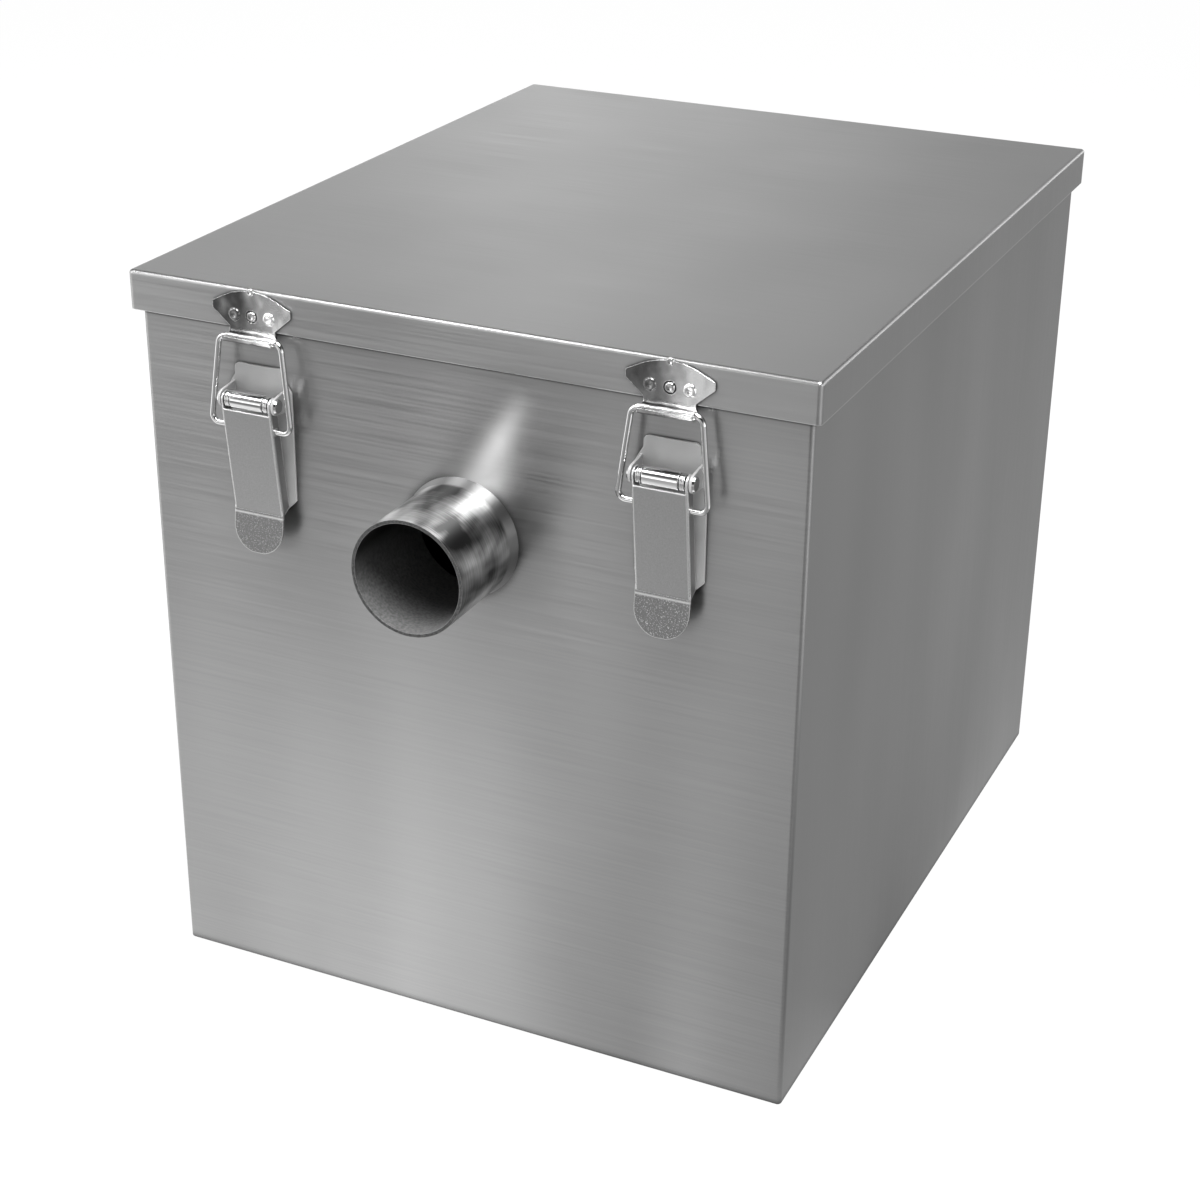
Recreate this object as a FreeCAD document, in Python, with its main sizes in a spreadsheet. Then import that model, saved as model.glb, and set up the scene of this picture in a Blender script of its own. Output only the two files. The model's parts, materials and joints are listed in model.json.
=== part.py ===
import FreeCAD, Part
import math
import os
import re
import Sketcher

# Stainless steel grease trap for a kitchen drain, in millimetres.
# A folded tank with a lift-off pan lid that four toggle latches hold down, an inlet pipe in front,
# an outlet pipe with a dip tube behind, two lift-out baffles and a strainer basket inside.
# X runs to the right, the front faces -Y, Z is up and the origin lies under the middle of the tank.

doc = FreeCAD.newDocument("grease_trap")

DIMENSIONS = {
    # tank
    "tank_width": 300,
    "tank_depth": 370,
    "overall_height": 330,
    "wall_sheet": 1.2,
    "corner_radius": 2,
    "foot_radius": 1,
    "rim_width": 16,
    # lid and its seal
    "skirt_height": 17,
    "skirt_gap": 2.4,
    "lid_fold_radius": 1.5,
    "gasket_width": 10,
    "gasket_thickness": 4,
    "gasket_inset": 3,
    "gasket_corner": 8,
    # pipes
    "pipe_diameter": 50,
    "pipe_wall": 1.5,
    "pipe_reach": 46,
    "pipe_inside": 6,
    "stub_weld_length": 5,
    "stub_weld_height": 1.2,
    "inlet_height": 237,
    "outlet_height": 222,
    "elbow_radius": 38,
    "dip_height": 55,
    # baffles and the channels that they slide in
    "baffle_sheet": 1.2,
    "front_chamber": 142,
    "rear_chamber": 100,
    "baffle_headroom": 28,
    "guide_sheet": 1,
    "guide_depth": 12,
    "guide_clearance": 0.3,
    "passage_height": 42,
    "passage_margin": 40,
    "passage_corner": 6,
    "grip_width": 80,
    "grip_height": 22,
    "grip_drop": 14,
    "slot_width": 8,
    "slot_height": 60,
    "slot_pitch": 26,
    "slot_count": 9,
    "slot_base": 30,
    # strainer basket
    "basket_height": 110,
    "basket_length": 100,
    "basket_front_gap": 16,
    "basket_side_gap": 14,
    "basket_drop": 7,
    "basket_sheet": 1,
    "basket_corner": 8,
    "basket_flange": 10,
    "strainer_slot_width": 6,
    "strainer_slot_length": 64,
    "strainer_slot_pitch": 22,
    "strainer_slot_count": 11,
    "rest_width": 12,
    "rest_height": 15,
    "rest_sheet": 1.2,
    "rest_length": 90,
    "lug_width": 20,
    "lug_height": 15,
    "handle_wire": 4,
    "handle_bend": 4,
    "handle_arm": 60,
    "handle_inset": 6,
    "handle_corner": 8,
    "handle_rest_gap": 0.3,
    "handle_play": 0.05,
    # toggle latches: keeper plate on the lid
    "latch_inset": 57,
    "rear_latch_drop": 2.5,
    "keeper_sheet": 1,
    "keeper_width": 37,
    "keeper_neck": 21.6,
    "hook_width": 23,
    "keeper_tip_drop": 6.6,
    "keeper_tip_height": 3.2,
    "keeper_crown": 9.4,
    "keeper_crown_radius": 28,
    "keeper_corner": 1.2,
    "trough_radius": 1.75,
    "trough_flat": 0.7,
    "trough_drop": 4.5,
    "lip_lean": 30,
    "lip_height": 2.1,
    "weld_diameter": 5.4,
    "weld_height": 0.7,
    "weld_pitch": 8.2,
    "weld_drop": 11.3,
    "tack_diameter": 3.4,
    # toggle latches: base plate on the tank
    "base_sheet": 1,
    "base_width": 30,
    "base_top_width": 24,
    "base_above_pin": 13,
    "base_below_pin": 50,
    "base_chamfer": 5,
    "base_shoulder": 5,
    "ear_sheet": 1,
    "ear_gap": 0.35,
    "ear_radius": 3.4,
    "ear_foot": 4.8,
    # toggle latches: pin, roller and springs
    "pin_drop": 29.5,
    "pin_out": 9.5,
    "pin_diameter": 4,
    "pin_head_diameter": 6.4,
    "pin_head_height": 0.9,
    "pin_play": 0.05,
    "roller_diameter": 7.5,
    "roller_length": 15.2,
    "roller_edge": 0.3,
    "spring_diameter": 7.2,
    "spring_gap": 0.1,
    "spring_width": 2.8,
    "spring_turns": 3,
    "spring_groove": 0.45,
    # toggle latches: lever
    "lever_width": 23.8,
    "lever_sheet": 1,
    "lever_face": 3.6,
    "lever_depth": 6,
    "lever_top": 3.4,
    "lever_length": 50.4,
    "lever_tilt": 6.8,
    "tab_length": 18,
    "tab_lean": 14,
    "tab_radius": 11.4,
    "bend_radius": 0.8,
    # toggle latches: wire bail
    "wire_diameter": 2.5,
    "wire_play": 0.08,
    "bail_drop": 11.5,
    "bail_offset": 1.1,
    "bail_top_width": 29.4,
    "bail_foot_width": 38.4,
    "bail_end_inset": 1.5,
    "bail_top_bend": 4,
    "bail_foot_bend": 3.4,
    "bail_lift": 0.25,
    # shortest straight side that is left between two roundings
    "least_side": 0.2,
}

# How closely an edge must match when it is picked by its place or direction.
SAME_PLACE = 0.01
SAME_DIRECTION = 0.999

# Formulas that several pieces share, worked out from the dimensions above.
DERIVED = {
    "half_width": "tank_width / 2",
    "half_depth": "tank_depth / 2",
    "inner_half_width": "tank_width / 2 - wall_sheet",
    "inner_half_depth": "tank_depth / 2 - wall_sheet",
    "rim_top": "overall_height - wall_sheet - gasket_thickness",
    "skirt_bottom": "overall_height - skirt_height",
    "skirt_face": "skirt_gap + wall_sheet",
    "front_baffle_place": "wall_sheet + front_chamber - tank_depth / 2",
    "rear_baffle_place": "tank_depth / 2 - wall_sheet - rear_chamber",
    "baffle_top": "overall_height - wall_sheet - baffle_headroom",
    "baffle_half_width": "tank_width / 2 - wall_sheet - guide_sheet - guide_clearance",
    "guide_slot": "baffle_sheet + 2 * guide_clearance",
    "basket_top": "inlet_height - pipe_diameter / 2 - basket_drop",
    "basket_half_width": "tank_width / 2 - wall_sheet - basket_side_gap",
    "basket_middle": "wall_sheet + basket_front_gap + basket_length / 2 - tank_depth / 2",
    "handle_pivot": "inlet_height - pipe_diameter / 2 - basket_drop + lug_height / 2",
    "latch_place": "tank_width / 2 - latch_inset",
    "keeper_tip": "overall_height - keeper_tip_drop",
    "trough_floor": "overall_height - skirt_height - trough_drop",
    "keeper_front": "skirt_gap + wall_sheet + keeper_sheet",
    "lip_slope": "tan(lip_lean * 1 deg)",
    "lip_bend": "tan((90 - lip_lean) / 2 * 1 deg)",
    "pin_height": "overall_height - skirt_height - pin_drop",
    "bar_out": "skirt_gap + wall_sheet + keeper_sheet + trough_radius + trough_flat / 2",
    "bar_height": "overall_height - skirt_height - trough_drop + wire_diameter / 2 + bail_lift",
    "bail_out": "pin_out + bail_offset * cos(lever_tilt * 1 deg) - bail_drop * sin(lever_tilt * 1 deg)",
    "bail_height": "overall_height - skirt_height - pin_drop - bail_drop * cos(lever_tilt * 1 deg)"
                   " - bail_offset * sin(lever_tilt * 1 deg)",
}


def link(expression):
    """The expression with each alias written as a reference to its sheet."""
    def refer(match):
        word = match.group(0)
        if word in DIMENSIONS:
            return "Dimensions." + word
        if word in DERIVED:
            return "Derived." + word
        return word
    return re.sub(r"[a-z_]+", refer, expression)


def fill_sheet(name, cells, formula=False):
    """A spreadsheet with one alias in each row."""
    table = doc.addObject("Spreadsheet::Sheet", name)
    for row, (alias, content) in enumerate(cells.items(), start=1):
        table.set("A%d" % row, alias)
        table.set("B%d" % row, "=" + link(content) if formula else str(content))
        table.setAlias("B%d" % row, alias)
    doc.recompute()
    return table


sheet = fill_sheet("Dimensions", DIMENSIONS)
fill_sheet("Derived", DERIVED, formula=True)


def number(expression):
    """The value of an expression in aliases."""
    return float(sheet.evalExpression(link(expression)))


def minus(expression):
    """The expression on the other side of the middle plane."""
    return "-(" + expression + ")"


def mirrored(corners):
    """A closed outline from its right half, which runs from top to bottom."""
    left = [(minus(corner[0]),) + tuple(corner[1:]) for corner in reversed(corners)]
    return list(corners) + left


def rectangle(half_x, half_y, radius=None, middle_y="0"):
    """Four corners about (0, middle_y), rounded if a radius is given."""
    signs = ((1, 1), (-1, 1), (-1, -1), (1, -1))
    corners = []
    for sign_x, sign_y in signs:
        across = half_x if sign_x > 0 else minus(half_x)
        up = "(%s) %s (%s)" % (middle_y, "+" if sign_y > 0 else "-", half_y)
        corners.append((across, up) if radius is None else (across, up, radius))
    return corners


def new_body(label):
    body = doc.addObject("PartDesign::Body", label)
    body.Label = label
    return body


def new_sketch(body, plane, out="0", up="0"):
    """A sketch on one of the body's own planes, moved along its normal and up in it."""
    sketch = body.newObject("Sketcher::SketchObject", body.Label + "_sketch")
    for feature in body.Origin.OriginFeatures:
        if feature.Role == plane:
            sketch.AttachmentSupport = [(feature, "")]
    sketch.MapMode = "FlatFace"
    sketch.setExpression(".AttachmentOffset.Base.z", link(out))
    sketch.setExpression(".AttachmentOffset.Base.y", link(up))
    return sketch


def drive(sketch, kind, *arguments):
    """A constraint whose value is an expression, given last."""
    expression = arguments[-1]
    index = sketch.addConstraint(Sketcher.Constraint(kind, *arguments[:-1], number(expression)))
    sketch.setExpression("Constraints[%d]" % index, link(expression))


def hold_point(sketch, geometry, end, corner):
    drive(sketch, "DistanceX", -1, 1, geometry, end, corner[0])
    drive(sketch, "DistanceY", -1, 1, geometry, end, corner[1])


def add_run(sketch, corners, closed=True):
    """Straight sides through the corners; a corner with a radius is rounded by a tangent arc."""
    points = [FreeCAD.Vector(number(corner[0]), number(corner[1]), 0) for corner in corners]
    count = len(points)
    arrive = list(points)
    leave = list(points)
    arcs = {}
    for i, corner in enumerate(corners):
        if len(corner) < 3:
            continue
        radius = number(corner[2])
        back = (points[i - 1] - points[i]).normalize()
        ahead = (points[(i + 1) % count] - points[i]).normalize()
        half = back.getAngle(ahead) / 2
        arrive[i] = points[i] + back * (radius / math.tan(half))
        leave[i] = points[i] + ahead * (radius / math.tan(half))
        centre = points[i] + (back + ahead).normalize() * (radius / math.sin(half))
        turns_left = ahead.cross(back).z > 0
        first, last = (arrive[i], leave[i]) if turns_left else (leave[i], arrive[i])
        start = math.atan2(first.y - centre.y, first.x - centre.x)
        stop = math.atan2(last.y - centre.y, last.x - centre.x)
        circle = Part.Circle(centre, FreeCAD.Vector(0, 0, 1), radius)
        arcs[i] = (Part.ArcOfCircle(circle, start, stop), 1 if turns_left else 2)
    side_count = count if closed else count - 1
    sides = []
    for i in range(side_count):
        segment = Part.LineSegment(leave[i], arrive[(i + 1) % count])
        sides.append(sketch.addGeometry(segment, False))
    for i, corner in enumerate(corners):
        if not closed and i == 0:
            hold_point(sketch, sides[0], 1, corner)
            continue
        if not closed and i == count - 1:
            hold_point(sketch, sides[-1], 2, corner)
            continue
        before = sides[i - 1]
        after = sides[i]
        if i not in arcs:
            sketch.addConstraint(Sketcher.Constraint("Coincident", before, 2, after, 1))
            hold_point(sketch, after, 1, corner)
            continue
        arc_shape, arc_start = arcs[i]
        arc = sketch.addGeometry(arc_shape, False)
        apex = sketch.addGeometry(Part.Point(points[i]), True)
        hold_point(sketch, apex, 1, corner)
        sketch.addConstraint(Sketcher.Constraint("PointOnObject", apex, 1, before))
        sketch.addConstraint(Sketcher.Constraint("PointOnObject", apex, 1, after))
        sketch.addConstraint(Sketcher.Constraint("Tangent", before, 2, arc, arc_start))
        sketch.addConstraint(Sketcher.Constraint("Tangent", arc, 3 - arc_start, after, 1))
        drive(sketch, "Radius", arc, corner[2])


def add_circle(sketch, across, up, radius):
    centre = FreeCAD.Vector(number(across), number(up), 0)
    circle = Part.Circle(centre, FreeCAD.Vector(0, 0, 1), number(radius))
    index = sketch.addGeometry(circle, False)
    hold_point(sketch, index, 3, (across, up))
    drive(sketch, "Radius", index, radius)


def outline(body, plane, corners, out="0", up="0"):
    sketch = new_sketch(body, plane, out, up)
    add_run(sketch, corners)
    return sketch


def pad(body, sketch, length, side="One side"):
    feature = body.newObject("PartDesign::Pad", body.Label + "_pad")
    feature.Profile = sketch
    feature.SideType = side
    feature.setExpression("Length", link(length))
    return feature


def pocket(body, sketch, length, side="One side", reverse=False):
    """A cut from the sketch plane; by default it runs against the plane's normal."""
    feature = body.newObject("PartDesign::Pocket", body.Label + "_pocket")
    feature.Profile = sketch
    feature.SideType = side
    feature.Reversed = reverse
    feature.setExpression("Length", link(length))
    return feature


def revolve(body, sketch):
    """A full turn about the sketch's horizontal axis."""
    feature = body.newObject("PartDesign::Revolution", body.Label + "_turn")
    feature.Profile = sketch
    feature.ReferenceAxis = (sketch, ["H_Axis"])
    feature.Angle = 360
    return feature


def row(body, feature, axis, pitch, count):
    """Equal copies of a cut along one of the body's axes."""
    pattern = body.newObject("PartDesign::LinearPattern", body.Label + "_row")
    pattern.Originals = [feature]
    for item in body.Origin.OriginFeatures:
        if item.Role == axis:
            pattern.Direction = (item, [""])
    pattern.setExpression("Length", link("%s * (%s - 1)" % (pitch, count)))
    pattern.setExpression("Occurrences", link(count))
    body.Tip = pattern
    return pattern


def round_edges(body, radius, wanted):
    """A fillet on the edges of the body that the test picks."""
    doc.recompute()
    base = body.Tip
    names = ["Edge%d" % (i + 1) for i, edge in enumerate(base.Shape.Edges) if wanted(edge)]
    feature = body.newObject("PartDesign::Fillet", body.Label + "_rounding")
    feature.Base = (base, names)
    feature.setExpression("Radius", link(radius))
    return feature


def sweep_wire(body, corners, diameter, plane):
    """A round wire along a path that starts parallel to X."""
    path = new_sketch(body, plane)
    add_run(path, corners, closed=False)
    section = new_sketch(body, "YZ_Plane", out=corners[0][0])
    add_circle(section, "0", "0", diameter + " / 2")
    feature = body.newObject("PartDesign::AdditivePipe", body.Label + "_wire")
    feature.Profile = section
    feature.Spine = path
    return feature


def runs_along(edge, axis):
    """Whether an edge is straight and parallel to a direction."""
    if not isinstance(edge.Curve, Part.Line):
        return False
    return abs(edge.Curve.Direction.dot(axis)) > SAME_DIRECTION


def near(value, expression):
    return abs(value - number(expression)) < SAME_PLACE


ALONG_X = FreeCAD.Vector(1, 0, 0)
ALONG_Y = FreeCAD.Vector(0, 1, 0)
ALONG_Z = FreeCAD.Vector(0, 0, 1)


# Tank and lid

def make_tank():
    """The folded and welded box, with its rim folded inwards and a hole for each pipe."""
    tank = new_body("tank_shell")
    pad(tank, outline(tank, "XY_Plane", rectangle("half_width", "half_depth", "corner_radius")),
        "rim_top - wall_sheet")
    inside = rectangle("inner_half_width", "inner_half_depth", "corner_radius - wall_sheet")
    pocket(tank, outline(tank, "XY_Plane", inside, out="rim_top - wall_sheet"), "rim_top - 2 * wall_sheet")
    rim = outline(tank, "XY_Plane", rectangle("half_width", "half_depth", "corner_radius"),
                  out="rim_top - wall_sheet")
    add_run(rim, rectangle("half_width - rim_width", "half_depth - rim_width", "corner_radius"))
    pad(tank, rim, "wall_sheet")
    inlet = new_sketch(tank, "XZ_Plane", out="half_depth")
    add_circle(inlet, "0", "inlet_height", "pipe_diameter / 2")
    pocket(tank, inlet, "2 * wall_sheet")
    outlet = new_sketch(tank, "XZ_Plane", out="-half_depth")
    add_circle(outlet, "0", "outlet_height", "pipe_diameter / 2")
    pocket(tank, outlet, "2 * wall_sheet", reverse=True)
    round_edges(tank, "foot_radius", lambda edge: edge.BoundBox.ZMax < SAME_PLACE)


def make_lid():
    """The pan lid: a flat top with a skirt folded down all round."""
    lid = new_body("lid_pan")
    outside = rectangle("half_width + skirt_face", "half_depth + skirt_face", "corner_radius")
    pad(lid, outline(lid, "XY_Plane", outside, out="skirt_bottom"), "skirt_height")
    inside = rectangle("half_width + skirt_gap", "half_depth + skirt_gap", "corner_radius - wall_sheet")
    pocket(lid, outline(lid, "XY_Plane", inside, out="skirt_bottom"), "skirt_height - wall_sheet",
           reverse=True)
    round_edges(lid, "lid_fold_radius", lambda edge: near(edge.BoundBox.ZMin, "overall_height"))


def make_gasket():
    """The flat rubber seal that lies on the tank's rim under the lid."""
    gasket = new_body("lid_gasket")
    ring = outline(gasket, "XY_Plane", rectangle("half_width - gasket_inset", "half_depth - gasket_inset",
                                                 "gasket_corner"), out="rim_top")
    add_run(ring, rectangle("half_width - gasket_inset - gasket_width",
                            "half_depth - gasket_inset - gasket_width", "gasket_corner / 2"))
    pad(gasket, ring, "gasket_thickness")


# Pipes

def make_pipe(label, height, side):
    """A straight stub through a wall and the ground weld round it; side is -1 in front, 1 behind."""
    pipe = new_body(label)
    outer = "pipe_diameter / 2"
    bore = "pipe_diameter / 2 - pipe_wall"
    stations = [("half_depth + pipe_reach", bore), ("half_depth + pipe_reach", outer),
                ("half_depth + stub_weld_length", outer), ("half_depth", outer + " + stub_weld_height"),
                ("half_depth", outer), ("inner_half_depth - pipe_inside", outer),
                ("inner_half_depth - pipe_inside", bore)]
    profile = [("(%s) * %d" % (place, side), radius) for place, radius in stations]
    revolve(pipe, outline(pipe, "YZ_Plane", profile, up=height))


def make_cut(label, solids):
    cut = doc.addObject("Part::Cut", label)
    cut.Label = label
    cut.Base = solids[0]
    cut.Tool = solids[1]
    return cut


def make_elbow():
    """The bend that turns the outlet down, butt-welded to the outlet pipe."""
    solids = []
    for part, radius in (("outside", "pipe_diameter / 2"), ("bore", "pipe_diameter / 2 - pipe_wall")):
        ring = doc.addObject("Part::Torus", "outlet_elbow_" + part)
        ring.Placement.Rotation = FreeCAD.Rotation(ALONG_Z, -ALONG_Y, ALONG_X, "XYZ")
        ring.setExpression("Radius1", link("elbow_radius"))
        ring.setExpression("Radius2", link(radius))
        ring.Angle3 = 90
        ring.setExpression(".Placement.Base.y", link("inner_half_depth - pipe_inside"))
        ring.setExpression(".Placement.Base.z", link("outlet_height - elbow_radius"))
        solids.append(ring)
    make_cut("outlet_elbow", solids)


def make_dip_tube():
    """The upright tube that draws clear water from below the grease."""
    solids = []
    for part, radius in (("outside", "pipe_diameter / 2"), ("bore", "pipe_diameter / 2 - pipe_wall")):
        cylinder = doc.addObject("Part::Cylinder", "dip_tube_" + part)
        cylinder.setExpression("Radius", link(radius))
        cylinder.setExpression("Height", link("outlet_height - elbow_radius - dip_height"))
        cylinder.setExpression(".Placement.Base.y", link("inner_half_depth - pipe_inside - elbow_radius"))
        cylinder.setExpression(".Placement.Base.z", link("dip_height"))
        solids.append(cylinder)
    make_cut("dip_tube", solids)


# Baffles

def make_guide(label, place, side):
    """One of the U channels on the side walls that hold the baffles upright."""
    guide = new_body(label)
    wide = "guide_slot / 2 + guide_sheet"
    narrow = "guide_slot / 2"
    corners = [("0", minus(wide)), ("guide_depth", minus(wide)), ("guide_depth", minus(narrow)),
               ("guide_sheet", minus(narrow)), ("guide_sheet", narrow), ("guide_depth", narrow),
               ("guide_depth", wide), ("0", wide)]
    pad(guide, outline(guide, "XY_Plane", corners), "baffle_top - wall_sheet")
    guide.Placement.Rotation = FreeCAD.Rotation(ALONG_Z, 180 if side > 0 else 0)
    guide.setExpression(".Placement.Base.x", link("inner_half_width * %d" % side))
    guide.setExpression(".Placement.Base.y", link(place))
    guide.setExpression(".Placement.Base.z", link("wall_sheet"))


def make_baffle(label, place):
    """A lift-out plate with a grip hole near its top edge; it stands on the tank's floor."""
    baffle = new_body(label)
    plate = [("baffle_half_width", "wall_sheet"), ("baffle_half_width", "baffle_top"),
             ("-baffle_half_width", "baffle_top"), ("-baffle_half_width", "wall_sheet")]
    sketch = outline(baffle, "XZ_Plane", plate, out=minus(place))
    add_run(sketch, rectangle("grip_width / 2", "grip_height / 2", "(grip_height - least_side) / 2",
                              "baffle_top - grip_drop - grip_height / 2"))
    pad(baffle, sketch, "baffle_sheet", side="Symmetric")
    return baffle


def make_front_baffle():
    """The diffuser: upright slots let water through below the floating grease."""
    baffle = make_baffle("front_baffle", "front_baffle_place")
    row_start = "slot_pitch * (slot_count - 1) / 2"
    right = row_start + " + slot_width / 2"
    left = row_start + " - slot_width / 2"
    slot = [(minus(left), "slot_base"), (minus(left), "slot_base + slot_height"),
            (minus(right), "slot_base + slot_height"), (minus(right), "slot_base")]
    cut = pocket(baffle, outline(baffle, "XZ_Plane", slot, out=minus("front_baffle_place")),
                 "3 * baffle_sheet", side="Symmetric")
    row(baffle, cut, "X_Axis", "slot_pitch", "slot_count")


def make_rear_baffle():
    """The plate that holds the grease back: water passes only under it, between two legs."""
    baffle = make_baffle("rear_baffle", "rear_baffle_place")
    edge = "baffle_half_width - passage_margin"
    passage = [(edge, "0"), (edge, "wall_sheet + passage_height", "passage_corner"),
               (minus(edge), "wall_sheet + passage_height", "passage_corner"), (minus(edge), "0")]
    pocket(baffle, outline(baffle, "XZ_Plane", passage, out=minus("rear_baffle_place")),
           "3 * baffle_sheet", side="Symmetric")


# Strainer basket

def make_basket():
    """The slotted sheet basket under the inlet, hung by its flange, with two lugs for its handle."""
    basket = new_body("strainer_basket")
    half_length = "basket_length / 2"
    bottom = "basket_top - basket_height"
    walls = rectangle("basket_half_width", half_length, "basket_corner", "basket_middle")
    inside = rectangle("basket_half_width - basket_sheet", half_length + " - basket_sheet",
                       "basket_corner - basket_sheet", "basket_middle")
    flange = rectangle("basket_half_width + basket_flange", half_length + " + basket_flange",
                       "basket_corner", "basket_middle")
    pad(basket, outline(basket, "XY_Plane", walls, out=bottom), "basket_height - basket_sheet")
    top = outline(basket, "XY_Plane", flange, out="basket_top - basket_sheet")
    pad(basket, top, "basket_sheet")
    pocket(basket, outline(basket, "XY_Plane", inside, out="basket_top"), "basket_height - basket_sheet")
    lug = [("basket_middle + lug_width / 2", "basket_top - basket_sheet"),
           ("basket_middle + lug_width / 2", "basket_top + lug_height", "lug_width / 4"),
           ("basket_middle - lug_width / 2", "basket_top + lug_height", "lug_width / 4"),
           ("basket_middle - lug_width / 2", "basket_top - basket_sheet")]
    for inner_side in ("basket_half_width - basket_sheet", "-basket_half_width"):
        pad(basket, outline(basket, "YZ_Plane", lug, out=inner_side), "basket_sheet")
    pivot = new_sketch(basket, "YZ_Plane")
    add_circle(pivot, "basket_middle", "handle_pivot", "handle_wire / 2 + handle_play")
    pocket(basket, pivot, "2 * basket_half_width + 2 * basket_sheet", side="Symmetric")
    start = "strainer_slot_pitch * (strainer_slot_count - 1) / 2"
    right = start + " + strainer_slot_width / 2"
    left = start + " - strainer_slot_width / 2"
    reach = "strainer_slot_length / 2"
    floor_slot = [(minus(left), "basket_middle - " + reach), (minus(left), "basket_middle + " + reach),
                  (minus(right), "basket_middle + " + reach), (minus(right), "basket_middle - " + reach)]
    cut = pocket(basket, outline(basket, "XY_Plane", floor_slot, out=bottom + " + basket_sheet"),
                 "2 * basket_sheet")
    row(basket, cut, "X_Axis", "strainer_slot_pitch", "strainer_slot_count")
    middle = "basket_top - basket_height / 2"
    wall_slot = [(minus(left), middle + " - " + reach), (minus(left), middle + " + " + reach),
                 (minus(right), middle + " + " + reach), (minus(right), middle + " - " + reach)]
    cut = pocket(basket, outline(basket, "XZ_Plane", wall_slot, out=minus("basket_middle")),
                 "basket_length + 2 * basket_sheet", side="Symmetric")
    row(basket, cut, "X_Axis", "strainer_slot_pitch", "strainer_slot_count")


def make_rest(label, side):
    """One of the two angles on the side walls that carry the basket's flange."""
    rest = new_body(label)
    corners = [("0", "0"), ("0", "-rest_height"), ("rest_sheet", "-rest_height"),
               ("rest_sheet", "-rest_sheet"), ("rest_width", "-rest_sheet"), ("rest_width", "0")]
    pad(rest, outline(rest, "XZ_Plane", corners), "rest_length", side="Symmetric")
    rest.Placement.Rotation = FreeCAD.Rotation(ALONG_Z, 180 if side > 0 else 0)
    rest.setExpression(".Placement.Base.x", link("inner_half_width * %d" % side))
    rest.setExpression(".Placement.Base.y", link("basket_middle"))
    rest.setExpression(".Placement.Base.z", link("basket_top - basket_sheet"))


def make_handle():
    """The basket's wire handle; it swings on its ends in the lugs and lies on the rear rim."""
    handle = new_body("basket_handle")
    end = "basket_half_width + handle_wire / 2"
    arm = "basket_half_width - basket_sheet - handle_inset"
    half = [(end, "0"), (arm, "0", "handle_bend"), (arm, "handle_arm", "handle_corner")]
    path = [(minus(point[0]),) + point[1:] for point in half] + list(reversed(half))
    sweep_wire(handle, path, "handle_wire", "XY_Plane")
    fall = number("handle_pivot - basket_top - handle_rest_gap - handle_wire / 2")
    angle = -math.degrees(math.asin(fall / number("handle_arm")))
    place = FreeCAD.Vector(0, number("basket_middle"), number("handle_pivot"))
    handle.Placement = FreeCAD.Placement(place, FreeCAD.Rotation(ALONG_X, angle))


# Toggle latches. Each is drawn on a wall at Y = 0 that faces -Y, about X = 0, at its real height,
# and is then carried to its place on the front or, turned round and a little lower, on the back.

def latch_placement(right, front):
    """Where a latch stands: right and front are 1 or -1."""
    turn = FreeCAD.Rotation(ALONG_Z, 0 if front > 0 else 180)
    drop = 0 if front > 0 else number("rear_latch_drop")
    base = FreeCAD.Vector(number("latch_place") * right, -number("half_depth") * front, -drop)
    return FreeCAD.Placement(base, turn)


def make_keeper(name, place):
    """The fan-shaped plate on the lid's skirt, rolled at its foot into a trough for the bail."""
    keeper = new_body(name + "_keeper")
    outer = "trough_radius + keeper_sheet"
    foot = "skirt_face + (%s) * (1 + lip_bend) + trough_flat" % outer
    inner_foot = "keeper_front + trough_radius * (1 + lip_bend) + trough_flat"
    lip_top = "trough_floor + lip_height"
    outer_lip = "%s + (lip_height + keeper_sheet) * lip_slope" % foot
    inner_lip = "%s + lip_height * lip_slope" % inner_foot
    top = "overall_height + keeper_crown"
    section = [(minus("skirt_face"), top), (minus("skirt_face"), "trough_floor - keeper_sheet", outer),
               (minus(foot), "trough_floor - keeper_sheet", outer), (minus(outer_lip), lip_top),
               (minus(inner_lip), lip_top), (minus(inner_foot), "trough_floor", "trough_radius"),
               (minus("keeper_front"), "trough_floor", "trough_radius"), (minus("keeper_front"), top)]
    pad(keeper, outline(keeper, "YZ_Plane", section), "keeper_width + 2 * keeper_sheet", side="Symmetric")
    low = "trough_floor - 3 * keeper_sheet"
    fan = [("0", "keeper_tip + keeper_crown", "keeper_crown_radius"),
           ("keeper_width / 2", "keeper_tip", "keeper_corner / 2"),
           ("keeper_width / 2", "keeper_tip - keeper_tip_height", "keeper_corner / 2"),
           ("keeper_neck / 2", "skirt_bottom + keeper_corner / 2", "keeper_corner"),
           ("keeper_neck / 2", "skirt_bottom - keeper_corner", "keeper_corner / 2"),
           ("hook_width / 2", "skirt_bottom - 2 * keeper_corner", "keeper_corner / 2"),
           ("hook_width / 2", low)]
    rest = [(minus(point[0]),) + tuple(point[1:]) for point in reversed(fan[1:])]
    trim = outline(keeper, "XZ_Plane", rectangle("keeper_width", "keeper_width", None, "keeper_tip"))
    add_run(trim, fan + rest)
    for step in (-1, 0, 1):
        add_circle(trim, "weld_pitch * %d" % step, "overall_height - weld_drop", "weld_diameter / 2")
    pocket(keeper, trim, "2 * keeper_width", side="Symmetric")
    keeper.Placement = place


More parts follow.
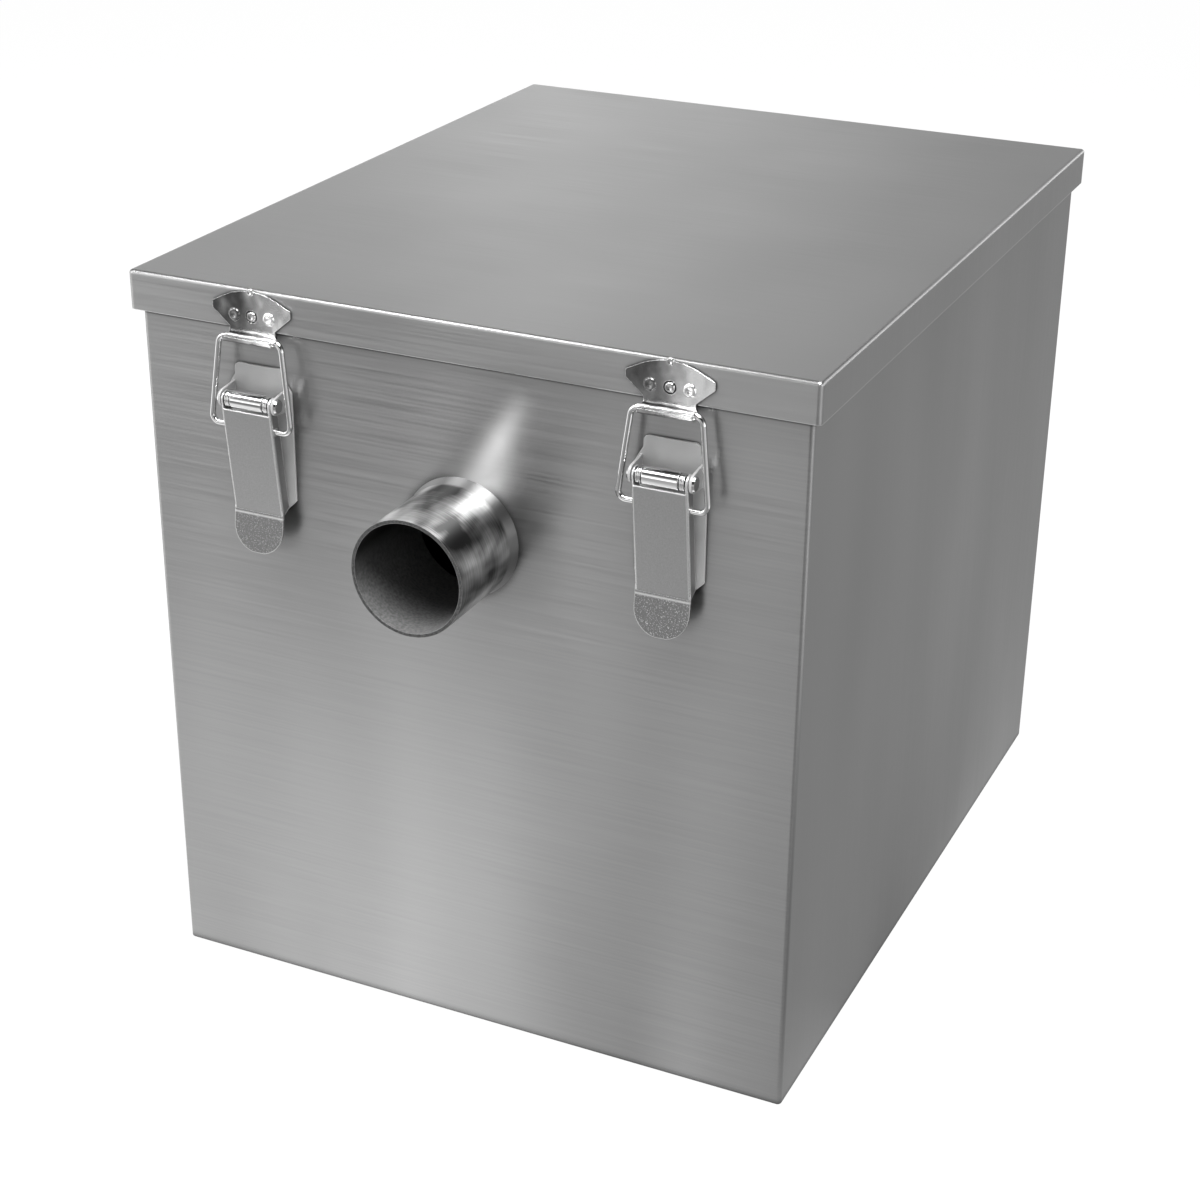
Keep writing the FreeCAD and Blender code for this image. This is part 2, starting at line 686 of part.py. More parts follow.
def make_welds(name, place):
    """Three domed plug welds that fill the keeper's holes, and the tack on its top edge."""
    beads = []
    for step in (-1, 0, 1):
        plug = doc.addObject("Part::Cylinder", name + "_plug")
        plug.setExpression("Radius", link("weld_diameter / 2"))
        plug.setExpression("Height", link("keeper_sheet"))
        dome = doc.addObject("Part::Cone", name + "_dome")
        dome.setExpression("Radius1", link("weld_diameter / 2"))
        dome.setExpression("Radius2", link("weld_diameter / 4"))
        dome.setExpression("Height", link("weld_height"))
        for solid, out in ((plug, "skirt_face"), (dome, "keeper_front")):
            solid.Placement.Rotation = FreeCAD.Rotation(ALONG_X, 90)
            solid.setExpression(".Placement.Base.x", link("weld_pitch * %d" % step))
            solid.setExpression(".Placement.Base.y", link(minus(out)))
            solid.setExpression(".Placement.Base.z", link("overall_height - weld_drop"))
        bead = doc.addObject("Part::Fuse", name + "_bead")
        bead.Base = plug
        bead.Tool = dome
        beads.append(bead)
    tack = doc.addObject("Part::Cone", name + "_tack")
    tack.Placement.Rotation = FreeCAD.Rotation(ALONG_X, 90)
    tack.setExpression("Radius1", link("tack_diameter / 2"))
    tack.setExpression("Radius2", link("tack_diameter / 4"))
    tack.setExpression("Height", link("weld_height"))
    tack.setExpression(".Placement.Base.y", link(minus("keeper_front")))
    tack.setExpression(".Placement.Base.z", link("overall_height - tack_diameter / 4"))
    beads.append(tack)
    group = doc.addObject("Part::MultiFuse", name + "_keeper_welds")
    group.Label = name + "_keeper_welds"
    group.Shapes = beads
    group.Placement = place


def make_base(name, place):
    """The plate on the tank wall, with two ears folded out of its edges to hold the pin."""
    base = new_body(name + "_base")
    low = "pin_height - base_below_pin"
    high = "pin_height + base_above_pin"
    shoulder = high + " - base_shoulder"
    half = [("base_top_width / 2", high, "base_shoulder / 2"), ("base_top_width / 2", shoulder),
            ("base_width / 2", shoulder + " - base_shoulder", "base_shoulder / 2"),
            ("base_width / 2", low + " + base_chamfer"), ("base_width / 2 - base_chamfer", low)]
    pad(base, outline(base, "XZ_Plane", mirrored(half)), "base_sheet")
    tip = "pin_out + ear_radius"
    ear = [(minus("base_sheet / 2"), "pin_height + ear_foot"),
           (minus(tip), "pin_height + ear_radius", "ear_radius - least_side / 2"),
           (minus(tip), "pin_height - ear_radius", "ear_radius - least_side / 2"),
           (minus("base_sheet / 2"), "pin_height - ear_foot")]
    inside = "lever_width / 2 + ear_gap"
    for start in (inside, minus(inside) + " - ear_sheet"):
        pad(base, outline(base, "YZ_Plane", ear, out=start), "ear_sheet")
    bore = new_sketch(base, "YZ_Plane")
    add_circle(bore, minus("pin_out"), "pin_height", "pin_diameter / 2")
    pocket(base, bore, "2 * base_width", side="Symmetric")
    base.Placement = place


def make_pin(name, place):
    """The pin that the lever swings on, headed outside both ears."""
    pin = new_body(name + "_pin")
    ear_face = "lever_width / 2 + ear_gap + ear_sheet"
    half = [(ear_face, "pin_diameter / 2"), (ear_face, "pin_head_diameter / 2"),
            (ear_face + " + pin_head_height", "pin_head_diameter / 2 - pin_head_height / 2"),
            (ear_face + " + pin_head_height", "0")]
    left = [(minus(point[0]), point[1]) for point in reversed(half)]
    sketch = outline(pin, "XZ_Plane", half + left, out="pin_out", up="pin_height")
    revolve(pin, sketch)
    pin.Placement = place


def make_roller(name, place):
    """The bright sleeve on the middle of the pin."""
    roller = new_body(name + "_roller")
    bore = "pin_diameter / 2 + pin_play"
    profile = [("roller_length / 2", bore), ("roller_length / 2", "roller_diameter / 2", "roller_edge"),
               ("-roller_length / 2", "roller_diameter / 2", "roller_edge"), ("-roller_length / 2", bore)]
    revolve(roller, outline(roller, "XZ_Plane", profile, out="pin_out", up="pin_height"))
    roller.Placement = place


def make_springs(name, place):
    """Two closed coils of the return spring, one at each end of the roller."""
    springs = new_body(name + "_springs")
    bore = "pin_diameter / 2 + pin_play"
    crest = "spring_diameter / 2"
    root = "spring_diameter / 2 - spring_groove"
    start = "roller_length / 2 + spring_gap"
    turns = round(number("spring_turns"))
    sketch = new_sketch(springs, "XZ_Plane", out="pin_out", up="pin_height")
    for side in (1, -1):
        profile = [("(%s) * %d" % (start, side), bore)]
        for turn in range(turns):
            for part, radius in ((0, root), (0.5, crest)):
                place_x = "(%s + spring_width * %.4f) * %d" % (start, (turn + part) / turns, side)
                profile.append((place_x, radius))
        end = "(%s + spring_width) * %d" % (start, side)
        profile += [(end, root), (end, bore)]
        add_run(sketch, profile)
    revolve(springs, sketch)
    springs.Placement = place


def make_lever(name, place):
    """The channel-shaped lever with its rounded thumb tab, drawn upright about the pin."""
    lever = new_body(name + "_lever")
    face = "lever_face"
    back = "lever_face - lever_sheet"
    crease = "-lever_length"
    tab_out = "tab_length * sin(tab_lean * 1 deg)"
    tab_end = "-lever_length - tab_length * cos(tab_lean * 1 deg)"
    thick_out = "lever_sheet * cos(tab_lean * 1 deg)"
    thick_up = "lever_sheet * sin(tab_lean * 1 deg)"
    strip = [(minus(face), "-lever_top"), (minus(back), "-lever_top"), (minus(back), crease),
             (minus("%s + %s - %s" % (face, tab_out, thick_out)), "%s - %s" % (tab_end, thick_up)),
             (minus("%s + %s" % (face, tab_out)), tab_end), (minus(face), crease)]
    pad(lever, outline(lever, "YZ_Plane", strip), "lever_width", side="Symmetric")
    rear = "lever_depth - lever_face"
    flange = [(minus(face), "-lever_top"), (minus(face), "ear_radius", "ear_radius - least_side"),
              (rear, "ear_radius", "lever_depth / 3"), (rear, "2 * lever_sheet - lever_length"),
              (minus(back), crease), (minus(face), crease)]
    for start in ("lever_width / 2 - lever_sheet", "-lever_width / 2"):
        pad(lever, outline(lever, "YZ_Plane", flange, out=start), "lever_sheet")
    round_edges(lever, "bend_radius", lambda edge: runs_along(edge, ALONG_Z)
                and near(edge.BoundBox.YMin, minus(face)) and edge.Length > number("lever_length") / 2)
    lower = "%s - %s" % (tab_end, thick_up)
    side = "lever_width / 2"
    beyond = "lever_width / 2 + lever_sheet"
    below = lower + " - lever_sheet"
    shape = [(beyond, crease), (side, crease), (side, lower, "tab_radius"),
             (minus(side), lower, "tab_radius"), (minus(side), crease), (minus(beyond), crease),
             (minus(beyond), below), (beyond, below)]
    pocket(lever, outline(lever, "XZ_Plane", shape), "2 * lever_width", side="Symmetric")
    holes = new_sketch(lever, "YZ_Plane")
    add_circle(holes, "0", "0", "pin_diameter / 2 + pin_play")
    add_circle(holes, minus("bail_offset"), "-bail_drop", "wire_diameter / 2 + wire_play")
    pocket(lever, holes, "2 * lever_width", side="Symmetric")
    pivot = FreeCAD.Vector(0, -number("pin_out"), number("pin_height"))
    turn = FreeCAD.Rotation(ALONG_X, number("lever_tilt"))
    lever.Placement = place.multiply(FreeCAD.Placement(pivot, turn))


def make_bail(name, place):
    """The wire bow that joins the lever to the keeper's trough, drawn upright about its own ends."""
    bail = new_body(name + "_bail")
    rise = number("bar_height - bail_height")
    lean = number("bail_out - bar_out")
    length = "sqrt(pow(bar_height - bail_height; 2) + pow(bail_out - bar_out; 2))"
    end = "lever_width / 2 - bail_end_inset"
    half = [(end, "0"), ("bail_foot_width / 2", "0", "bail_foot_bend"),
            ("bail_top_width / 2", length, "bail_top_bend")]
    path = [(minus(point[0]),) + point[1:] for point in half] + list(reversed(half))
    sweep_wire(bail, path, "wire_diameter", "XZ_Plane")
    pivot = FreeCAD.Vector(0, -number("bail_out"), number("bail_height"))
    turn = FreeCAD.Rotation(ALONG_X, -math.degrees(math.atan2(lean, rise)))
    bail.Placement = place.multiply(FreeCAD.Placement(pivot, turn))


def check_model(pieces):
    """Stop before anything is written if a feature failed or a cut missed its piece."""
    for item in doc.Objects:
        if "Invalid" in item.State or "Error" in item.State:
            raise RuntimeError("%s failed: %s" % (item.Name, item.State))
        if item.TypeId == "PartDesign::Pocket" and item.Shape.Volume >= item.BaseFeature.Shape.Volume:
            raise RuntimeError("%s cuts nothing" % item.Name)
    for piece in pieces:
        if piece.Shape.isNull() or not piece.Shape.isValid():
            raise RuntimeError("%s has no sound shape" % piece.Label)


def is_piece(item):
    """A body, or a boolean that no other object uses."""
    if item.TypeId == "PartDesign::Body":
        return True
    return item.TypeId in ("Part::Cut", "Part::MultiFuse")


make_tank()
make_lid()
make_gasket()
make_pipe("inlet_pipe", "inlet_height", -1)
make_pipe("outlet_pipe", "outlet_height", 1)
make_elbow()
make_dip_tube()
for label, place in (("front_guide", "front_baffle_place"), ("rear_guide", "rear_baffle_place")):
    make_guide(label + "_left", place, -1)
    make_guide(label + "_right", place, 1)
make_front_baffle()
make_rear_baffle()
make_basket()
make_rest("basket_rest_left", -1)
make_rest("basket_rest_right", 1)
make_handle()
for front, depth_word in ((1, "front"), (-1, "back")):
    for right, side_word in ((-1, "left"), (1, "right")):
        name = "latch_%s_%s" % (depth_word, side_word)
        for make_piece in (make_keeper, make_welds, make_base, make_pin, make_roller, make_springs,
                           make_lever, make_bail):
            make_piece(name, latch_placement(right, front))
doc.recompute()

pieces = [item for item in doc.Objects if is_piece(item)]
check_model(pieces)
os.makedirs("parts", exist_ok=True)
for piece in pieces:
    piece.Shape.exportStep("parts/%s.step" % piece.Label)
print("%d pieces written" % len(pieces))
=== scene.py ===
import json
import math

import bmesh
import bpy
import numpy as np
from mathutils import Matrix, Vector


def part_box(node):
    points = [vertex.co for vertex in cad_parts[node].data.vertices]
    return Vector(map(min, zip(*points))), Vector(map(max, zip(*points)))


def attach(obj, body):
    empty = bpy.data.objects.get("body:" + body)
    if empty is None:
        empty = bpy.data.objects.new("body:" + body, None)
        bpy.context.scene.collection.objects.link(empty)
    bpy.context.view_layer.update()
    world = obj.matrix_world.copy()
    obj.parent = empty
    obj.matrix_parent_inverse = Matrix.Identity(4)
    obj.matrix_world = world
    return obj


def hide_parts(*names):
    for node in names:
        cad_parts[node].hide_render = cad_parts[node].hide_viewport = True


# Looks of a stainless steel grease trap with a pan lid and toggle latches, in metres.
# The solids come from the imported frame. This script gives them their finishes and puts wound springs
# and domed weld beads in the place of the plain ones.

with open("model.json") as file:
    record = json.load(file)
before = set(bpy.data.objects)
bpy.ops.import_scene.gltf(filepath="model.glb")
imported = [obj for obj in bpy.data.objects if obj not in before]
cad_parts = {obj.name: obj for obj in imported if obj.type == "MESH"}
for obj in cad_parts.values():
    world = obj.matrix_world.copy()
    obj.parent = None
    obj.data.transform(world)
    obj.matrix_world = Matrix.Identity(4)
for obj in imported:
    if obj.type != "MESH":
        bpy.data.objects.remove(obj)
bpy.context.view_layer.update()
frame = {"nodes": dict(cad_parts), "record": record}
solids = frame["nodes"]

MM = 0.001
LATCHES = [name[:-len("_keeper")] for name in sorted(solids) if name.endswith("_keeper")]
CREASE_MM = 17.3  # the crease's height above the lever's tip
NOISE_LOW, NOISE_HIGH = 0.3, 0.7  # nearly all of a noise pattern lies between these


# Colours and nodes

# Some sockets are picked by number. MapRange takes a value (0) that runs from 1 to 2 and gives 3 to 4.
# Mix takes a share (0) and blends two numbers (2, 3), two directions (4, 5) or two colours (6, 7).

def linear(code):
    """The linear colour of an sRGB hex code: c/12.92 below 0.04045, else ((c + 0.055)/1.055)^2.4."""
    parts = [int(code[i:i + 2], 16) / 255 for i in (1, 3, 5)]
    return [c / 12.92 if c <= 0.04045 else ((c + 0.055) / 1.055) ** 2.4 for c in parts] + [1.0]


def add(tree, kind, links=None, **settings):
    """A node with its settings. A link is a plain value, an output, or a node for its first output."""
    node = tree.nodes.new("ShaderNode" + kind)
    for name, value in settings.items():
        setattr(node, name, value)
    for socket, source in (links or {}).items():
        if isinstance(source, bpy.types.Node):
            source = source.outputs[0]
        if isinstance(source, bpy.types.NodeSocket):
            tree.links.new(source, node.inputs[socket])
        else:
            node.inputs[socket].default_value = source
    return node


def new_material(name):
    """An empty material, its node tree, and the place on the piece as Object coordinates."""
    material = bpy.data.materials.new(name)
    material.use_nodes = True
    tree = material.node_tree
    tree.nodes.clear()
    return material, tree, add(tree, "TexCoord").outputs["Object"]


# Patterns

def grain(tree, place, spacings, detail=3.0):
    """Noise whose features have the given spacings along X, Y and Z, in millimetres."""
    scale = [1 / (spacing * MM) for spacing in spacings]
    mapped = add(tree, "Mapping", {"Vector": place, "Scale": scale})
    return add(tree, "TexNoise", {"Vector": mapped, "Scale": 1.0, "Detail": detail, "Roughness": 0.55})


def tint(tree, pattern, dark, light, start=NOISE_LOW, stop=NOISE_HIGH):
    """A colour that goes from one hex code to the other as the pattern goes from start to stop."""
    share = add(tree, "MapRange", {0: pattern, 1: start, 2: stop, 3: 0.0, 4: 1.0})
    return add(tree, "Mix", {0: share, 6: linear(dark), 7: linear(light)}, data_type="RGBA").outputs[2]


def hill(tree, apart, width):
    """1 where apart is 0, and less to both sides: exp(-(apart / width)^2)."""
    share = add(tree, "Math", {0: apart, 1: width}, operation="DIVIDE")
    square = add(tree, "Math", {0: share, 1: share}, operation="MULTIPLY")
    return add(tree, "Math", {0: math.exp(-1), 1: square}, operation="POWER")


def relief(tree, height, depth_mm, strength, edge_mm):
    """The normal of a surface with this height pattern and edges that look rounded."""
    edge = add(tree, "Bevel", {"Radius": edge_mm * MM}, samples=4)
    bump = add(tree, "Bump", {"Height": height, "Distance": depth_mm * MM, "Strength": strength,
                              "Normal": edge})
    return bump.outputs[0]


def paint_edge_highlights(tree, colour, radius_mm, code):
    """The colour, with a painted highlight of another colour along every fold and rim.

    How near a fold is shows in how far a normal rounded within the radius turns from the true one:
    all painted where their dot product is under 0.985, and nothing where it is over 0.999."""
    rounded = add(tree, "Bevel", {"Radius": radius_mm * MM}, samples=6)
    true = add(tree, "NewGeometry").outputs["Normal"]
    agree = add(tree, "VectorMath", {0: rounded, 1: true}, operation="DOT_PRODUCT").outputs["Value"]
    share = add(tree, "MapRange", {0: agree, 1: 0.985, 2: 0.999, 3: 1.0, 4: 0.0})
    return add(tree, "Mix", {0: share, 6: colour, 7: linear(code)}, data_type="RGBA").outputs[2]


def paint_corner_shade(tree, colour, reach_mm, code):
    """The colour, darkened by painted shade in tight corners and gaps.

    All shaded where less than 0.4 of the air within the reach is open, and nothing over 0.92."""
    open_air = add(tree, "AmbientOcclusion", {"Distance": reach_mm * MM}, samples=8).outputs["AO"]
    unshaded = add(tree, "MapRange", {0: open_air, 1: 0.4, 2: 0.92, 3: 0.0, 4: 1.0})
    return add(tree, "Mix", {0: unshaded, 6: linear(code), 7: colour}, data_type="RGBA").outputs[2]


# Finishes

def side_share(tree):
    """1 on walls that face left or right, 0 elsewhere."""
    normal = add(tree, "NewGeometry").outputs["Normal"]
    aside = add(tree, "SeparateXYZ", {"Vector": normal}).outputs["X"]
    size = add(tree, "Math", {0: aside}, operation="ABSOLUTE")
    return add(tree, "MapRange", {0: size, 1: 0.6, 2: 0.8, 3: 0.0, 4: 1.0})


def painted_wall_reflection(tree, place):
    """A painted reflection of the inlet pipe's bright band on the front wall, up and to the right of the
    inlet's weld.

    exp(-(d / w)^2) across a line that leans 28 degrees from upright, d being the distance from it and w
    narrowing from 8 to 5 mm along it; it fades out between 30 and 57 mm. The line starts 19 mm above
    the inlet's axis and 4 mm to its right."""
    pipe_low, pipe_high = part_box("inlet_pipe")
    start = (4 * MM, 0, (pipe_low.z + pipe_high.z) / 2 + 19 * MM)
    lean = math.radians(28)
    line = (math.sin(lean), 0, math.cos(lean))
    aside = (math.cos(lean), 0, -math.sin(lean))
    strongest = 0.62
    moved = add(tree, "VectorMath", {0: place, 1: start}, operation="SUBTRACT")
    along = add(tree, "VectorMath", {0: moved, 1: line}, operation="DOT_PRODUCT").outputs["Value"]
    across = add(tree, "VectorMath", {0: moved, 1: aside}, operation="DOT_PRODUCT").outputs["Value"]
    depth = add(tree, "SeparateXYZ", {"Vector": place}).outputs["Y"]
    width = add(tree, "MapRange", {0: along, 1: 0.0, 2: 50 * MM, 3: 8 * MM, 4: 5 * MM})
    begin = add(tree, "MapRange", {0: along, 1: -6 * MM, 2: 0.0, 3: 0.0, 4: 1.0})
    fade = add(tree, "MapRange", {0: along, 1: 30 * MM, 2: 57 * MM, 3: strongest, 4: 0.0})
    front = add(tree, "MapRange", {0: depth, 1: -0.1, 2: -0.05, 3: 1.0, 4: 0.0})
    painted_streak = hill(tree, across, width)
    for factor in (fade, begin, front):
        painted_streak = add(tree, "Math", {0: painted_streak, 1: factor}, operation="MULTIPLY")
    return painted_streak


def painted_skirt_shade(tree, place):
    """A dark line of painted shade under the lid's skirt: strongest there, gone 2.4 mm lower."""
    height = add(tree, "SeparateXYZ", {"Vector": place}).outputs["Z"]
    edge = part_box("lid_pan")[0].z
    return add(tree, "MapRange", {0: height, 1: edge - 2.4 * MM, 2: edge - 1.2 * MM, 3: 0.0, 4: 0.9})


def brushed_sheet(name, dark, light, front_painted_light):
    """No. 4 brushed stainless sheet, ground with a 180 grit belt.

    Fine straight lines along the belt's travel, drawn 1.1 mm apart because the real 0.1 mm would not
    show, and broad faint bands 75 to 90 mm wide where the belt bore harder. The belt ran along X on
    the front and the lid and upright on the sides. Highlights stretch across the belt's travel.
    Painted shade darkens corners and gaps, and painted highlights brighten the folds."""
    material, tree, place = new_material(name)
    sides = side_share(tree)
    along = grain(tree, place, (70, 1.1, 1.1))
    upright = grain(tree, place, (1.1, 1.1, 70))
    lines = add(tree, "Mix", {0: sides, 2: along, 3: upright}, data_type="FLOAT")
    bands = grain(tree, place, (75, 90, 260), detail=1.0)
    tone = add(tree, "Math", {0: lines, 1: 0.5, 2: bands}, operation="MULTIPLY_ADD")
    colour = tint(tree, tone, dark, light, 0.45, 1.05)
    # Painted highlight along the folds and rims.
    colour = paint_edge_highlights(tree, colour, 0.5, "#d8d8d8")
    # Painted shade in corners and gaps, such as beside the latches and keepers.
    colour = paint_corner_shade(tree, colour, 5, "#303030")
    metal = 1.0
    # The front wall alone gets painted shade under the skirt and a painted reflection streak.
    if front_painted_light:
        # Painted shade: a dark line under the lid's skirt.
        skirt_shade = {0: painted_skirt_shade(tree, place), 6: colour, 7: linear("#181818")}
        colour = add(tree, "Mix", skirt_shade, data_type="RGBA").outputs[2]
        # Painted reflection: a bright streak, made less metallic so that it shows bright under any light.
        painted_streak = painted_wall_reflection(tree, place)
        colour = add(tree, "Mix", {0: painted_streak, 6: colour, 7: linear("#ececec")}, data_type="RGBA").outputs[2]
        metal = add(tree, "MapRange", {0: painted_streak, 1: 0.0, 2: 1.0, 3: 1.0, 4: 0.3})
    rough = add(tree, "MapRange", {0: lines, 1: NOISE_LOW, 2: NOISE_HIGH, 3: 0.28, 4: 0.36})
    about_x = add(tree, "Tangent", direction_type="RADIAL", axis="X")
    about_z = add(tree, "Tangent", direction_type="RADIAL", axis="Z")
    tangent = add(tree, "Mix", {0: sides, 4: about_x, 5: about_z}, data_type="VECTOR").outputs[1]
    shader = add(tree, "BsdfPrincipled", {
        "Base Color": colour, "Metallic": metal, "Roughness": rough,
        "Anisotropic": 0.7, "Tangent": tangent,
        "Normal": relief(tree, lines, 0.02, 0.25, 0.6)})
    add(tree, "OutputMaterial", {"Surface": shader})
    return material


def polished_tube():
    """Drawn stainless tube, polished round and round on a wheel: a bright band along it between dark ones.

    Faint rings 0.9 mm apart from the wheel, smears 14 mm wide, and a duller ground zone 6 mm long at
    the weld. Highlights stretch along the tube."""
    material, tree, place = new_material("polished_stainless_tube")
    rings = grain(tree, place, (24, 0.9, 24))
    clouds = grain(tree, place, (14, 30, 14), detail=2.0)
    depth = add(tree, "SeparateXYZ", {"Vector": place}).outputs["Y"]
    from_middle = add(tree, "Math", {0: depth}, operation="ABSOLUTE")
    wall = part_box("tank_shell")[1].y
    ground = add(tree, "MapRange", {0: from_middle, 1: wall + 5 * MM, 2: wall + 7 * MM, 3: 1.0, 4: 0.0})
    tone = add(tree, "Math", {0: rings, 1: 0.2, 2: clouds}, operation="MULTIPLY_ADD")
    colour = tint(tree, tone, "#484848", "#d0d0d0", 0.47, 0.87)
    colour = add(tree, "Mix", {0: ground, 6: colour, 7: linear("#8a8a8a")}, data_type="RGBA").outputs[2]
    gloss = add(tree, "MapRange", {0: clouds, 1: NOISE_LOW, 2: NOISE_HIGH, 3: 0.44, 4: 0.5})
    rough = add(tree, "Mix", {0: ground, 2: gloss, 3: 0.5}, data_type="FLOAT")
    about_y = add(tree, "Tangent", direction_type="RADIAL", axis="Y")
    shader = add(tree, "BsdfPrincipled", {
        "Base Color": colour, "Metallic": 1.0, "Roughness": rough,
        "Anisotropic": 0.95, "Anisotropic Rotation": 0.25, "Tangent": about_y,
        "Normal": relief(tree, rings, 0.02, 0.12, 0.3)})
    add(tree, "OutputMaterial", {"Surface": shader})
    return material


def matt_bore():
    """The tube's inside: painted shade, near black, on the faces above, and a pale grainy film with grains 1.2
    mm across below.
    """
    material, tree, place = new_material("drawn_tube_inside")
    grains = grain(tree, place, (1.2, 1.2, 1.2), detail=2.0)
    normal = add(tree, "NewGeometry").outputs["Normal"]
    up = add(tree, "SeparateXYZ", {"Vector": normal}).outputs["Z"]
    lower = add(tree, "MapRange", {0: up, 1: -0.35, 2: 0.55, 3: 0.0, 4: 1.0})
    film = tint(tree, grains, "#565656", "#767676")
    # Painted shade on the bore's upper faces, which look down.
    colour = add(tree, "Mix", {0: lower, 6: linear("#101010"), 7: film}, data_type="RGBA").outputs[2]
    shader = add(tree, "BsdfPrincipled", {
        "Base Color": colour, "Metallic": 0.35, "Roughness": 0.6,
        "Normal": relief(tree, grains, 0.05, 0.5, 0.2)})
    add(tree, "OutputMaterial", {"Surface": shader})
    return material


def sawn_end():
    """The tube's cut end, dark from the saw, with a painted highlight along its edges."""
    material, tree, place = new_material("sawn_tube_end")
    marks = grain(tree, place, (0.8, 0.8, 0.8), detail=1.0)
    colour = tint(tree, marks, "#4a4a4a", "#6e6e6e")
    # Painted highlight along the cut end's edges.
    colour = paint_edge_highlights(tree, colour, 0.25, "#a4a4a4")
    shader = add(tree, "BsdfPrincipled", {
        "Base Color": colour, "Metallic": 1.0, "Roughness": 0.45,
        "Normal": relief(tree, marks, 0.02, 0.3, 0.2)})
    add(tree, "OutputMaterial", {"Surface": shader})
    return material


def mill_sheet():
    """2B mill-finish stainless sheet: even, milky grey, with soft clouds 40 mm across."""
    material, tree, place = new_material("mill_finish_stainless")
    clouds = grain(tree, place, (40, 40, 40), detail=2.0)
    shader = add(tree, "BsdfPrincipled", {
        "Base Color": tint(tree, clouds, "#868686", "#a2a2a2"), "Metallic": 1.0, "Roughness": 0.38,
        "Normal": relief(tree, clouds, 0.02, 0.2, 0.4)})
    add(tree, "OutputMaterial", {"Surface": shader})
    return material


def painted_crease_light(tree, place, above_mm, width_mm):
    """A thin level line near each lever's crease, painted light and shade at the fold: a hill over the height
    above the line.

    The rear levers' crease stands lower than the front ones'."""
    parts = add(tree, "SeparateXYZ", {"Vector": place})
    heights = [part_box(name + "_lever")[0].z + (CREASE_MM + above_mm) * MM for name in LATCHES]
    behind = add(tree, "MapRange", {0: parts.outputs["Y"], 1: -MM, 2: MM, 3: 0.0, 4: 1.0})
    level = add(tree, "Mix", {0: behind, 2: max(heights), 3: min(heights)}, data_type="FLOAT")
    apart = add(tree, "Math", {0: parts.outputs["Z"], 1: level}, operation="SUBTRACT")
    return hill(tree, apart, width_mm * MM)


def pickled_base():
    """The latch's base plate and its ears: pickled stainless, even and dull, about the wall's tone."""
    material, tree, place = new_material("pickled_stainless")
    clouds = grain(tree, place, (15, 15, 15), detail=2.0)
    colour = tint(tree, clouds, "#9c9c9c", "#a6a6a6")
    # Painted highlight along the plate's edges.
    colour = paint_edge_highlights(tree, colour, 0.3, "#b8b8b8")
    shader = add(tree, "BsdfPrincipled", {
        "Base Color": colour, "Metallic": 0.35, "Roughness": 0.5,
        "Normal": relief(tree, clouds, 0.02, 0.2, 0.4)})
    add(tree, "OutputMaterial", {"Surface": shader})
    return material


def tumbled_stamping():
    """A stamped stainless part, tumbled satin: even, with fine pits 0.5 mm apart and a painted highlight along
    its edges.
    """
    material, tree, place = new_material("tumbled_stainless")
    pits = grain(tree, place, (0.5, 0.5, 0.5), detail=2.0)
    colour = tint(tree, pits, "#888888", "#949494")
    # Painted shade: a dark line 0.5 mm above each lever's crease.
    crease = painted_crease_light(tree, place, 0.5, 0.5)
    colour = add(tree, "Mix", {0: crease, 6: colour, 7: linear("#5a5a5a")}, data_type="RGBA").outputs[2]
    # Painted highlight along the lever's edges.
    colour = paint_edge_highlights(tree, colour, 0.9, "#e8e8e8")
    shader = add(tree, "BsdfPrincipled", {
        "Base Color": colour, "Metallic": 0.85, "Roughness": 0.36,
        "Normal": relief(tree, pits, 0.02, 0.3, 0.6)})
    add(tree, "OutputMaterial", {"Surface": shader})
    return material


def blasted_tab():
    """The lever's thumb tab, shot-blasted for grip: dull with sparse bright specks 0.45 mm across."""
    material, tree, place = new_material("shot_blasted_stainless")
    speckle = grain(tree, place, (0.45, 0.45, 0.45), detail=2.0)
    colour = tint(tree, speckle, "#848484", "#f0f0f0", 0.57, 0.7)
    # Painted highlight along the tab's edges.
    colour = paint_edge_highlights(tree, colour, 0.4, "#e8e8e8")
    # Painted highlight: a bright line 0.5 mm below each lever's crease.
    crease = painted_crease_light(tree, place, -0.5, 0.45)
    colour = add(tree, "Mix", {0: crease, 6: colour, 7: linear("#dcdcdc")}, data_type="RGBA").outputs[2]
    rough = add(tree, "MapRange", {0: speckle, 1: NOISE_LOW, 2: NOISE_HIGH, 3: 0.5, 4: 0.25})
    shader = add(tree, "BsdfPrincipled", {
        "Base Color": colour, "Metallic": 1.0, "Roughness": rough,
        "Normal": relief(tree, speckle, 0.05, 0.4, 0.5)})
    add(tree, "OutputMaterial", {"Surface": shader})
    return material


